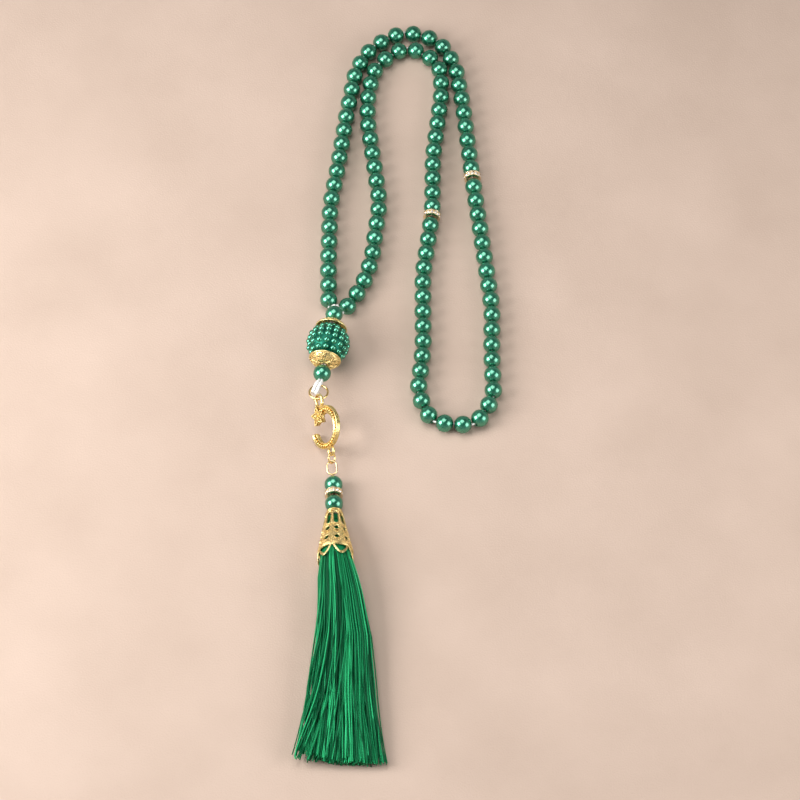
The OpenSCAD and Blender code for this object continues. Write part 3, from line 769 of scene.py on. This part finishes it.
bail_line = [Vector((BAIL_BEND * math.cos(start + math.pi * t / 16),
                     straight + BAIL_BEND * math.sin(start + math.pi * t / 16), 0))
             for start, straight in [(0, BAIL_STRAIGHT), (math.pi, -BAIL_STRAIGHT)]
             for t in range(17)]
bail = wire(bail_line, BAIL_WIRE, True, 4)
bail.transform(Matrix.Translation((0, BAIL_Y, -CAST / 2)) @ Matrix.Diagonal((1, 1, 1.2, 1)))
add(crescent, bail)
bail.free()
foot = wire([Vector((FOOT_R * math.cos(a), FOOT_R * math.sin(a), 0)) for a in full_turn(32)],
            FOOT_WIRE, True, 4)
foot.transform(Matrix.Translation((0, FOOT_Y, -CAST / 2)) @ Matrix.Diagonal((1, 1, 1.25, 1)))
add(crescent, foot)
foot.free()
crescent.transform(placed(CHARM_AT, CHARM_TURN))
piece("crescent_and_star", crescent, cast_gilt, "crescent_charm", "cast_gilt",
      "crescent_charm")


# Link ring and eye pin: thinner gilt wire. The ring joins the charm's foot to the pin's
# oval eye, and the pin runs down through the tassel's pearls into the silk.
LINK_AT = Vector((-30.201, -46.9685, 5.6686))
LINK_TURN = (0, 61.825, -20.955)
LINK_R = 2.35
LINK_WIRE = 0.8
TASSEL_AT = Vector((-29.297, -59.743, 4.05))
TASSEL_TURN = (83.5, 0, 2)
PIN = 0.8
EYE_START = -5.6
EYE_LIFT = math.radians(20)
EYE_ASIDE = -0.5
EYE_R = 2.1
EYE_STRAIGHT = 2.0
PIN_END = 28
tassel_place = placed(TASSEL_AT, TASSEL_TURN)
link_ring = cut_ring(LINK_R, LINK_WIRE, 200, 40)
link_ring.transform(placed(LINK_AT, LINK_TURN))
piece("link_ring_wire", link_ring, wire_gilt, "link_ring", "gilt_wire", "link_ring")
# The gold's second colour is its painted shade in the hollows.
pin_gilt = gilt("pin_gilt", (0.93, 0.72, 0.42), (0.55, 0.33, 0.12), 0.18)
eye_line = []
for step in range(49):
    a = -math.pi / 2 + 2 * math.pi * step / 48
    middle = -EYE_R if math.sin(a) < 0 or step in (0, 48) else -EYE_R - EYE_STRAIGHT
    eye_line.append(Vector((EYE_R * math.cos(a), 0, middle - EYE_R * math.sin(a))))
eye_turn = Matrix.Translation((EYE_ASIDE, 0, EYE_START)) @ Matrix.Rotation(EYE_LIFT, 4, "X")
eye_line = [eye_turn @ p for p in eye_line]
pin_shape = wire(eye_line[:-1], PIN, True, 4)
add(pin_shape, wire([eye_line[0] + Vector((0, 0, -0.1)), Vector((-0.15, 0, EYE_START + 0.7)),
                     Vector((0, 0, EYE_START + 1.2)), Vector((0, 0, PIN_END))], PIN,
                    fineness=4))
pin_shape.transform(tassel_place)
piece("eye_pin_wire", pin_shape, pin_gilt, "eye_pin", "gilt_wire", "eye_pin")


# Tassel pearls: two lacquered pearls with a third spacer ring between them, threaded on
# the pin between its eye and the cone.
SECOND_PEARL = 10.6
for name, height in [("tassel_pearl_upper", 0), ("tassel_pearl_lower", SECOND_PEARL)]:
    pearl = drilled_ball(PEARL, HOLE)
    pearl.transform(tassel_place @ Matrix.Translation((0, 0, height)))
    piece(f"{name}_bead", pearl, lacquer, name, "pearl_green", name)
spacer_ring("tassel_spacer", tassel_place @ Matrix.Translation((0, 0, SECOND_PEARL / 2)),
            "tassel_ring", "tassel_ring", "tassel_stones")


# Tassel cone: a gilt filigree cone over the top of the silk. Long petals are pierced near
# its top, then two rows of round holes with raised rims, and wire leaves round its mouth.
CONE_TOP = 15.0
CONE_LONG = 22.0
LEAF_LONG = 5.4
CONE_TOP_R = 3.4
CONE_R = 7.6
WALL = 0.6
COLUMNS = 9
COLUMN_TURN = math.radians(2)
LEAVES = 6
LEAF_TURN = math.radians(10)
LEAF_MIDDLE = 2.2


def cone_radius(height):
    """The wall widens to the mouth, and the leaves go straight on from there."""
    return CONE_TOP_R + (CONE_R - CONE_TOP_R) * min(1, (height - CONE_TOP) / CONE_LONG)


def on_cone(height, angle, across=0.0, proud=0.0):
    """A point on the cone's wall, across millimetres round from an angle."""
    radius = cone_radius(height) + proud
    turn = angle + across / cone_radius(height)
    return Vector((radius * math.cos(turn), radius * math.sin(turn), height))


def outward(height, angle):
    """Turns a shape's Z axis out through the wall, with its X axis towards the cone's top."""
    return (Matrix.Translation((0, 0, height)) @ Matrix.Rotation(angle, 4, "Z")
            @ Matrix.Rotation(math.pi / 2, 4, "Y"))


def prism(outline, depth=12):
    """A straight-sided cutter with this outline, standing on the XY plane."""
    shape = bmesh.new()
    face = shape.faces.new([shape.verts.new((x, y, 0)) for x, y in outline])
    raised = bmesh.ops.extrude_face_region(shape, geom=[face])["geom"]
    bmesh.ops.translate(shape, verts=[v for v in raised if isinstance(v, bmesh.types.BMVert)],
                        vec=(0, 0, depth))
    bmesh.ops.recalc_face_normals(shape, faces=shape.faces)
    return shape


def stadium(half_long, half_wide, steps=12):
    """An outline with two round ends, long in X."""
    straight = half_long - half_wide
    ends = []
    for step in range(2 * steps):
        a = -math.pi / 2 + math.pi * (step + 0.5) / steps
        middle = straight if math.cos(a) > 0 else -straight
        ends.append((middle + half_wide * math.cos(a), half_wide * math.sin(a)))
    return ends


PETAL_AT = CONE_TOP + 6.2
PETAL_HALF = 3.5
PETAL_WIDE = 1.0
HOLE_ROWS = [CONE_TOP + 12.54, CONE_TOP + 18.04]
HOLE_R = 1.14
RIM_R = 1.1 * HOLE_R
MOUTH = CONE_TOP + CONE_LONG
# Grains between the columns: distance below the cone's top, and across.
CONE_GRAINS = [
    (10.6, -0.7), (10.6, 0.7), (11.5, 0), (12.6, -0.45), (12.6, 0.45), (13.7, 0), (14.4, 0.8),
    (14.4, -0.8), (15.3, 0), (15.3, 1.7), (15.3, -1.7), (16.2, 0.9), (16.2, -0.9), (17.1, 0),
    (18.0, -0.6), (18.0, 0.6), (18.9, 0), (19.6, 0.9), (19.6, -0.9), (20.4, 0), (20.4, 1.9),
    (20.4, -1.9)]
# Rings of wire round the cone: distance along it, thickness, and how far proud.
CONE_RINGS = [(CONE_TOP + 0.35, 0.5, -0.15), (CONE_TOP + 1.5, 0.4, 0.05),
              (CONE_TOP + 9.9, 0.34, 0.05), (MOUTH - 0.9, 0.36, 0.05), (MOUTH - 0.1, 0.46, 0.05)]
# Outlines at the mouth: across, and distance beyond it.
LEAF_WINDOW = [(-2.7, 0.6), (2.7, 0.6), (2.75, 1.1), (1.9, 2.6), (0.5, 4.1), (-0.5, 4.1),
               (-1.9, 2.6), (-2.75, 1.1)]
LEAF_NOTCH = [(0, 0.5), (1.1, 1.4), (2.5, 3.4), (3.1, 4.7), (3.6, 5.3), (3.6, 7),
              (-3.6, 7), (-3.6, 5.3), (-3.1, 4.7), (-2.5, 3.4), (-1.1, 1.4)]
LEAF_EDGE = [(-3.7, 0.2), (0, 0.0), (3.7, 0.2), (3.3, 1.5), (2.3, 3.3), (1.0, 4.9), (0, 5.4),
             (-1.0, 4.9), (-2.3, 3.3), (-3.3, 1.5)]
wall_line = [(2.1, CONE_TOP + 0.1), (2.8, CONE_TOP + 0.05), (3.25, CONE_TOP + 0.35),
             (3.5, CONE_TOP + 1.0)]
wall_line += [(cone_radius(CONE_TOP + h), CONE_TOP + h) for h in (4, 8, 12, 16, 20, 22)]
wall_line += [(cone_radius(MOUTH + LEAF_LONG), MOUTH + LEAF_LONG)]
wall_line += [(cone_radius(MOUTH + LEAF_LONG) - WALL, MOUTH + LEAF_LONG)]
wall_line += [(cone_radius(CONE_TOP + h) - WALL, CONE_TOP + h) for h in (22, 20, 16, 12, 8, 4)]
wall_line += [(2.95, CONE_TOP + 1.2), (2.6, CONE_TOP + 0.75), (2.1, CONE_TOP + 0.6)]
cutters = bmesh.new()
trim = bmesh.new()
for k in range(COLUMNS):
    angle = COLUMN_TURN + 2 * math.pi * k / COLUMNS
    add(cutters, prism(stadium(PETAL_HALF, PETAL_WIDE)), outward(PETAL_AT, angle))
    rim = [on_cone(PETAL_AT - x * 1.03, angle, y * 1.08, 0.06)
           for x, y in stadium(PETAL_HALF, PETAL_WIDE)]
    add(trim, wire(rim, 0.28, True, 2))
    for height in HOLE_ROWS:
        add(cutters, prism(stadium(HOLE_R, HOLE_R - 0.001)), outward(height, angle))
        rim = [on_cone(height + RIM_R * math.cos(a), angle, RIM_R * math.sin(a), 0.08)
               for a in full_turn(22)]
        add(trim, wire(rim, 0.3, True, 2))
    between = angle + math.pi / COLUMNS
    grains(trim, [on_cone(CONE_TOP + 2.4 + 0.66 * n, between, 0, 0.08) for n in range(12)], 0.52)
    grains(trim, [on_cone(CONE_TOP + h, between, x, 0.08) for h, x in CONE_GRAINS], 0.5)
for k in range(LEAVES):
    angle = LEAF_TURN + 2 * math.pi * k / LEAVES
    for outline, turn in [(LEAF_WINDOW, angle), (LEAF_NOTCH, angle + math.pi / LEAVES)]:
        add(cutters, prism([(-h, x) for x, h in outline]), outward(MOUTH, turn))
    for shrink, thickness in [(1.0, 0.44), (0.84, 0.34)]:
        rim = smoothed([Vector((x * shrink, LEAF_MIDDLE + (h - LEAF_MIDDLE) * shrink, 0))
                        for x, h in LEAF_EDGE], True)
        add(trim, wire([on_cone(MOUTH + p.y, angle, p.x, 0.05) for p in rim], thickness, True, 2))
for height, thickness, proud in CONE_RINGS:
    add(trim, wire([on_cone(height, a, 0, proud) for a in full_turn(60)], thickness, True, 2))
cone = pierced(turned(wall_line, 90), cutters)
add(cone, trim)
trim.free()
cone.transform(tassel_place)
piece("cone_filigree", cone, filigree_gilt, "tassel_cone", "gilt_filigree", "tassel_cone")


# Silk: the folded top of the skein inside the cone, tied with a tight wrap of the same
# thread. Its folds run lengthwise and show through the holes of the cone.
SILK_TOP = CONE_TOP + 2.2
WRAP_AT = SILK_TOP + 2.4
SILK_CLEAR = 0.45
silk_finish = Finish("silk_thread", 0.42, Sheen_Weight=0.1, Sheen_Roughness=0.35,
                     Sheen_Tint=(0.1, 0.9, 0.45, 1), Specular_IOR_Level=0.35,
                     Specular_Tint=(0.35, 1.0, 0.6, 1))
tint = silk_finish.node("ShaderNodeAttribute")
tint.attribute_name = "strand"
twist = silk_finish.node("ShaderNodeTexWave", Vector=silk_finish.coordinates, Scale=470.0,
                         Distortion=3.0, Detail=2.0)
twist.bands_direction = "Y"
# The colour mixes each thread's own random tone with the twist's bands, which are painted shade
# and sheen on the plies.
ply_shade_and_tone = silk_finish.node("ShaderNodeMix")
ply_shade_and_tone.data_type = "FLOAT"
ply_shade_and_tone.inputs[0].default_value = 0.78
silk_finish.tree.links.new(twist.outputs["Fac"], ply_shade_and_tone.inputs[2])
silk_finish.tree.links.new(tint.outputs["Fac"], ply_shade_and_tone.inputs[3])
silk_finish.colour(silk_finish.ramp(ply_shade_and_tone.outputs[0], [
    (0.1, (0.0, 0.035, 0.012)), (0.5, (0.0, 0.150, 0.048)), (0.85, (0.03, 0.50, 0.19))]))
silk_finish.rough(silk_finish.span(silk_finish.noise(0.6), 0.34, 0.5))
silk_finish.bump((twist.outputs["Fac"], 0.07), (silk_finish.noise(0.2, 4), 0.05))


def strand_shade(made, shade_of):
    """Gives every corner of a piece its thread's own shade, from 0 to 1."""
    shades = made.data.attributes.new("strand", "FLOAT", "POINT")
    shades.data.foreach_set("value", [shade_of(i, v.co) for i, v in enumerate(made.data.vertices)])


def inside(height):
    """How far out the silk reaches inside the cone's wall."""
    return cone_radius(height) - WALL - SILK_CLEAR


FOLDS = 36
FOLD_DEEP = 0.32
folded = turned([(0.42, SILK_TOP + 0.2), (inside(SILK_TOP) - 0.5, SILK_TOP),
                 (inside(WRAP_AT) - 0.75, WRAP_AT - 1), (inside(WRAP_AT) - 0.75, WRAP_AT + 1),
                 (inside(WRAP_AT + 3), WRAP_AT + 3), (inside(30), 30), (inside(36), 36),
                 (inside(41) - 0.3, 41), (5.2, 42.2), (0.42, 42.4)], FOLDS * 2)
for vert in folded.verts:
    radius = math.hypot(vert.co.x, vert.co.y)
    fold = round(math.atan2(vert.co.y, vert.co.x) / (math.pi / FOLDS))
    if radius > 1 and fold % 2:
        vert.co.x *= 1 - FOLD_DEEP / radius
        vert.co.y *= 1 - FOLD_DEEP / radius
folded.transform(tassel_place)
skein = piece("folded_silk", folded, silk_finish, "eye_pin", "silk_thread", "tassel_head")
strand_shade(skein, lambda i, co: 0.35 + 0.3 * ((i * 7) % 5) / 4)
WRAP_THREAD = 0.7
wrap_r = inside(WRAP_AT) - 0.3
wrap = bmesh.new()
for k in (-1, 0, 1):
    add(wrap, wire([Vector((wrap_r * math.cos(a), wrap_r * math.sin(a), WRAP_AT + WRAP_THREAD * k))
                    for a in full_turn(40)], WRAP_THREAD, True, 2))
wrap.transform(tassel_place)
wrapped = piece("silk_wrap", wrap, silk_finish, "eye_pin", "binding_silk", "tassel_binding")
strand_shade(wrapped, lambda i, co: 0.4)


# Fringe: the skein's loose threads, each a fine twisted silk. They leave the cone's mouth
# as a round bundle, fall to the table and spread flat, with a few strays at the edges.
FRINGE_AT = Vector((-27.771, -103.433, 9.031))
# Distance, middle x, middle z, half width, half height.
FRINGE = [(-7, -0.25, -0.8, 6.1, 6.1), (0, 0.6, 0, 7.5, 6.7), (6, 1.2, -0.5, 8.8, 6.6),
          (14, 2.3, -1.4, 9.8, 6.2), (34, 3.9, -2.9, 12.0, 5.2), (62, 3.5, -4.6, 14.4, 3.9),
          (92.4, 3.2, -6.3, 18.6, 2.5)]
THREADS = 430
THREAD = 0.52
THREAD_STEPS = 30
TUCKED_IN = 7
FALL = 92
# Each thread's place in the bundle is this much of a turn on from the last one's.
NEXT_TURN = 2.39996


def fringe_section(distance):
    """The bundle's middle and half sizes at a distance, eased between the known ones."""
    for low, high in zip(FRINGE, FRINGE[1:]):
        if distance <= high[0]:
            break
    share = (distance - low[0]) / (high[0] - low[0])
    return [a + (b - a) * share for a, b in zip(low[1:], high[1:])]


random.seed(33)
skirt = bpy.data.curves.new("threads", "CURVE")
skirt.dimensions = "3D"
skirt.bevel_depth = THREAD / 2
skirt.bevel_resolution = 1
skirt.use_fill_caps = True
for n in range(THREADS):
    turn = NEXT_TURN * n
    out = math.sqrt((n + 0.5) / THREADS)
    a, b = out * math.cos(turn), out * math.sin(turn)
    # Most threads keep their place, some cross over the top, and a few stray at the edges.
    drift, bound = random.gauss(0, 0.05), 1.05
    chance = random.random()
    if chance < 0.14:
        drift, b = random.uniform(-1.1, -0.35), abs(b)
    elif chance < 0.24:
        drift, bound = random.uniform(-0.5, 0.5), 1.2
    # Threads in the middle hang lowest, and no two are cut quite alike.
    length = 91.5 + 2.4 * a - 2.2 * a * a - abs(random.gauss(0, 1.1))
    phase, wave = random.uniform(0, 6.28), random.uniform(0.25, 0.6)
    rise = random.uniform(-0.1, 0.12) + abs(drift) * 0.25
    line = skirt.splines.new("POLY")
    line.points.add(THREAD_STEPS - 1)
    for step in range(THREAD_STEPS):
        distance = -TUCKED_IN + (length + TUCKED_IN) * step / (THREAD_STEPS - 1)
        middle_x, middle_z, half_x, half_z = fringe_section(distance)
        share = max(0, distance / FALL)
        across = max(-bound, min(bound, a + drift * share ** 1.5))
        x = across * half_x + wave * share * math.sin(distance / 9 + phase)
        ripple = 0.3 * share * math.sin(distance / 7 + 2 * phase)
        z = middle_z + b * half_z + rise * share * 5 + ripple
        z = max(z, THREAD / 2 + 0.03 - FRINGE_AT.z)
        line.points[step].co = (FRINGE_AT.x + middle_x + x, FRINGE_AT.y - distance,
                                FRINGE_AT.z + z, 1)
holder = bpy.data.objects.new("threads", skirt)
drawn = bpy.data.meshes.new_from_object(holder)
per_thread = len(drawn.vertices) // THREADS
threads = bmesh.new()
threads.from_mesh(drawn)
bmesh.ops.recalc_face_normals(threads, faces=threads.faces)
bpy.data.meshes.remove(drawn)
bpy.data.objects.remove(holder)
fringe = piece("silk_fringe", threads, silk_finish, None, "silk_thread", "tassel_fringe")
shades = [min(1, max(0, random.gauss(0.5, 0.3))) for _ in range(THREADS)]
strand_shade(fringe, lambda i, co: shades[min(i // per_thread, THREADS - 1)])
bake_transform(fringe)

one_pearl.free()
